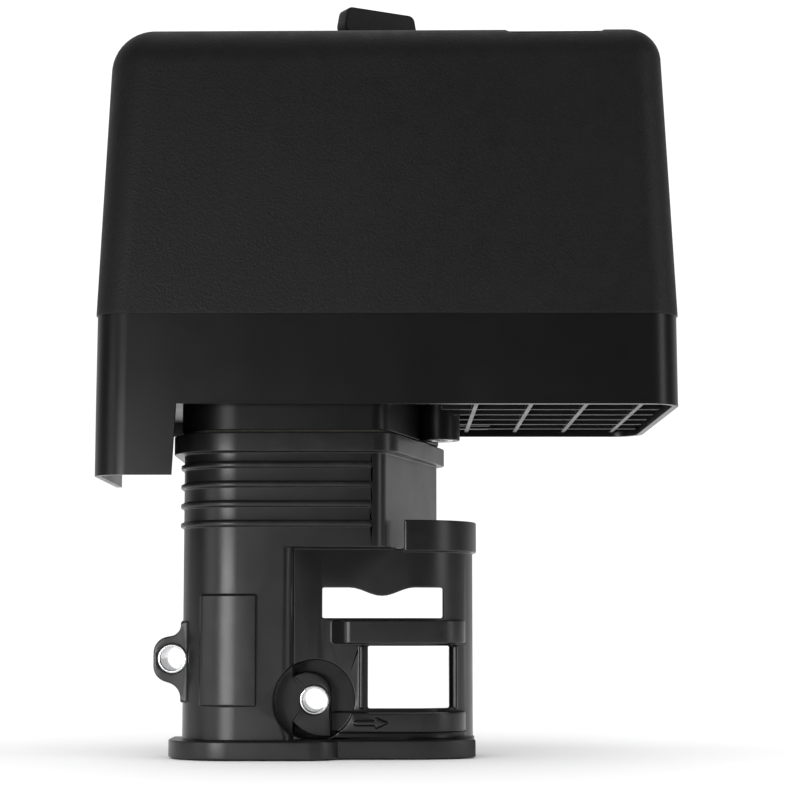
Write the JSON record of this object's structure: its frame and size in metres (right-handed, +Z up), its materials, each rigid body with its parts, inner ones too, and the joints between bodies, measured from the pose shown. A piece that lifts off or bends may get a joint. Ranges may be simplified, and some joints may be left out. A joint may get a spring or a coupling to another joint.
{
  "type": "air filter housing",
  "caption": "Black plastic air filter housing with a lift-off cover, wing nuts, a dual foam and paper element, a filter case and an intake elbow with a lever guard.",
  "frame": {"origin": "centre of the intake port on its mating plane, at the outer face of the port gasket", "axes": "+X along the cover's long side, +Y out of the port towards the carburettor, +Z up through the cover"},
  "size_m": [0.2204, 0.1452, 0.3009],
  "materials": {
    "elbow_plastic": "moulded black, semi-gloss",
    "case_plastic": "moulded black, satin",
    "cover_plastic": "moulded black, fine texture over a smooth skirt",
    "knob_plastic": "moulded black, fine texture",
    "snorkel_plastic": "moulded black",
    "seal_rubber": "smooth black rubber",
    "gasket_paper": "dark pressed fibre",
    "zinc_steel": "bright zinc plate",
    "screen_steel": "plain steel",
    "insert_brass": "turned brass",
    "cap_rubber": "moulded end cap, red-brown",
    "filter_paper": "resin-treated paper",
    "foam": "open-cell foam"
  },
  "bodies": {
    "housing": {"elbow": "elbow_plastic", "filter_case": "case_plastic", "elbow_gasket": "gasket_paper", "port_gasket": "gasket_paper", "case_rim_seal": "seal_rubber", "center_stud": "zinc_steel", "stud_nuts": "zinc_steel", "case_screws": "zinc_steel", "case_screw_washers": "zinc_steel", "bush_left": "zinc_steel", "bush_right": "zinc_steel", "intake_snorkel": "snorkel_plastic", "stay_bush": "zinc_steel"},
    "cover": {"cover_shell": "cover_plastic", "cover_grommet": "seal_rubber"},
    "knob": {"wing_nut": "knob_plastic", "wing_nut_insert": "insert_brass"},
    "element": {"element_top_cap": "cap_rubber", "element_bottom_cap": "cap_rubber", "pleated_paper": "filter_paper", "inner_core": "screen_steel", "outer_screen": "screen_steel"},
    "foam": {"foam_sleeve": "foam"},
    "element_nut": {"element_wing_nut": "zinc_steel", "element_washer": "zinc_steel"}
  },
  "joints": [
    {"name": "cover_lift", "type": "slide", "parent": "housing", "child": "cover", "axis": [0, 0, 1], "range_m": [0, 0.3]},
    {"name": "knob_turn", "type": "hinge", "parent": "cover", "child": "knob", "pos_m": [0.05, 0.0205, 0.26], "axis": [0, 0, 1], "continuous": true},
    {"name": "element_lift", "type": "slide", "parent": "housing", "child": "element", "axis": [0, 0, 1], "range_m": [0, 0.15]},
    {"name": "foam_lift", "type": "slide", "parent": "element", "child": "foam", "axis": [0, 0, 1], "range_m": [0, 0.09]},
    {"name": "element_nut_turn", "type": "hinge", "parent": "element", "child": "element_nut", "pos_m": [0.05, 0.0205, 0.21], "axis": [0, 0, 1], "continuous": true}
  ],
  "couplings": [
    {"joint": "element_lift", "follows": "cover_lift", "ratio": 0.5},
    {"joint": "foam_lift", "follows": "cover_lift", "ratio": 0.3}
  ]
}
